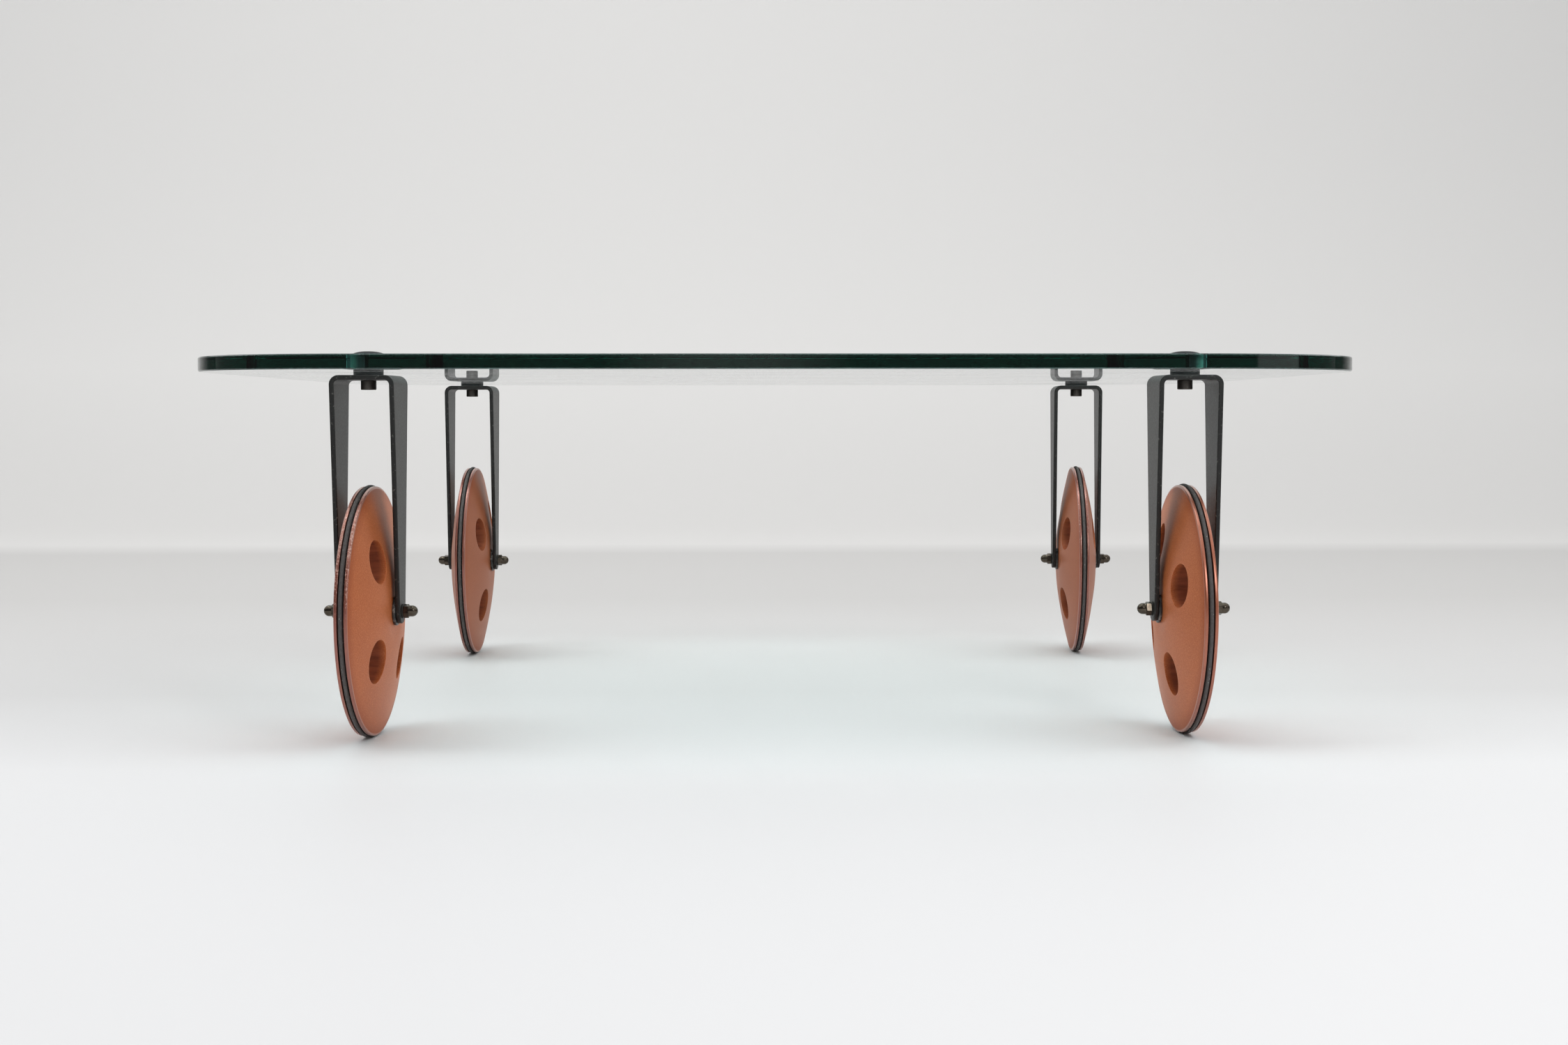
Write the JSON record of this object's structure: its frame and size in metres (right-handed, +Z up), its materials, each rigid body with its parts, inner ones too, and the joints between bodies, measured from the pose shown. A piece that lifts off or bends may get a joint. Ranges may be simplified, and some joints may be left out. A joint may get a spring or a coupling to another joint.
{
  "type": "coffee table with wheels",
  "caption": "Low square glass table with rounded corners on tall swivelling forks, each with a large copper-lacquered wooden wheel and a thin rubber tyre.",
  "frame": {"origin": "on the floor under the middle of the glass top", "axes": "+Z up; -Y is the side that faces the camera in the picture; +X to that camera's right; the wheels roll nearly along Y at rest"},
  "size_m": [1.2, 1.2, 0.4019],
  "materials": {
    "glass": "clear float glass with polished green edges",
    "cap_steel": "dark satin",
    "black_rubber": "matt",
    "collar_steel": "dark satin",
    "screw_steel": "black oxide",
    "fork_paint": "satin greenish black paint",
    "bronze": "turned bronze",
    "axle_steel": "bright steel",
    "nut_metal": "dark burnished",
    "washer_steel": "dark",
    "copper_lacquer": "satin metallic copper lacquer over turned wood",
    "tyre_rubber": "matt dark grey rubber",
    "hub_plastic": "black"
  },
  "bodies": {
    "table": {"glass_top": "glass", "collar_rubbers": "black_rubber", "front_left_cap": "cap_steel", "front_left_glass_bush": "black_rubber", "front_left_collar": "collar_steel", "front_left_swivel_screw": "screw_steel", "front_right_cap": "cap_steel", "front_right_glass_bush": "black_rubber", "front_right_collar": "collar_steel", "front_right_swivel_screw": "screw_steel", "rear_left_cap": "cap_steel", "rear_left_glass_bush": "black_rubber", "rear_left_collar": "collar_steel", "rear_left_swivel_screw": "screw_steel", "rear_right_cap": "cap_steel", "rear_right_glass_bush": "black_rubber", "rear_right_collar": "collar_steel", "rear_right_swivel_screw": "screw_steel"},
    "front_left_caster": {"front_left_fork": "fork_paint", "front_left_swivel_bush": "bronze", "front_left_axle": "axle_steel", "front_left_axle_nuts": "nut_metal", "front_left_nut_washers": "washer_steel"},
    "front_left_wheel": {"front_left_wheel_inner_half": "copper_lacquer", "front_left_wheel_outer_half": "copper_lacquer", "front_left_tyre": "tyre_rubber", "front_left_hub_sleeve": "bronze", "front_left_hub_washers": "hub_plastic"},
    "front_right_caster": {"front_right_fork": "fork_paint", "front_right_swivel_bush": "bronze", "front_right_axle": "axle_steel", "front_right_axle_nuts": "nut_metal", "front_right_nut_washers": "washer_steel"},
    "front_right_wheel": {"front_right_wheel_inner_half": "copper_lacquer", "front_right_wheel_outer_half": "copper_lacquer", "front_right_tyre": "tyre_rubber", "front_right_hub_sleeve": "bronze", "front_right_hub_washers": "hub_plastic"},
    "rear_left_caster": {"rear_left_fork": "fork_paint", "rear_left_swivel_bush": "bronze", "rear_left_axle": "axle_steel", "rear_left_axle_nuts": "nut_metal", "rear_left_nut_washers": "washer_steel"},
    "rear_left_wheel": {"rear_left_wheel_inner_half": "copper_lacquer", "rear_left_wheel_outer_half": "copper_lacquer", "rear_left_tyre": "tyre_rubber", "rear_left_hub_sleeve": "bronze", "rear_left_hub_washers": "hub_plastic"},
    "rear_right_caster": {"rear_right_fork": "fork_paint", "rear_right_swivel_bush": "bronze", "rear_right_axle": "axle_steel", "rear_right_axle_nuts": "nut_metal", "rear_right_nut_washers": "washer_steel"},
    "rear_right_wheel": {"rear_right_wheel_inner_half": "copper_lacquer", "rear_right_wheel_outer_half": "copper_lacquer", "rear_right_tyre": "tyre_rubber", "rear_right_hub_sleeve": "bronze", "rear_right_hub_washers": "hub_plastic"}
  },
  "joints": [
    {"name": "front_left_swivel", "type": "hinge", "parent": "table", "child": "front_left_caster", "pos_m": [-0.426, -0.426, 0.3768], "axis": [0, 0, 1], "continuous": true},
    {"name": "front_left_roll", "type": "hinge", "parent": "front_left_caster", "child": "front_left_wheel", "pos_m": [-0.426, -0.426, 0.1315], "axis": [0.9978, -0.0663, 0], "continuous": true},
    {"name": "front_right_swivel", "type": "hinge", "parent": "table", "child": "front_right_caster", "pos_m": [0.426, -0.426, 0.3768], "axis": [0, 0, 1], "continuous": true},
    {"name": "front_right_roll", "type": "hinge", "parent": "front_right_caster", "child": "front_right_wheel", "pos_m": [0.426, -0.426, 0.1315], "axis": [0.9992, 0.0401, 0], "continuous": true},
    {"name": "rear_left_swivel", "type": "hinge", "parent": "table", "child": "rear_left_caster", "pos_m": [-0.426, 0.426, 0.3768], "axis": [0, 0, 1], "continuous": true},
    {"name": "rear_left_roll", "type": "hinge", "parent": "rear_left_caster", "child": "rear_left_wheel", "pos_m": [-0.426, 0.426, 0.1315], "axis": [0.9998, -0.0209, 0], "continuous": true},
    {"name": "rear_right_swivel", "type": "hinge", "parent": "table", "child": "rear_right_caster", "pos_m": [0.426, 0.426, 0.3768], "axis": [0, 0, 1], "continuous": true},
    {"name": "rear_right_roll", "type": "hinge", "parent": "rear_right_caster", "child": "rear_right_wheel", "pos_m": [0.426, 0.426, 0.1315], "axis": [0.9994, -0.0349, 0], "continuous": true}
  ]
}
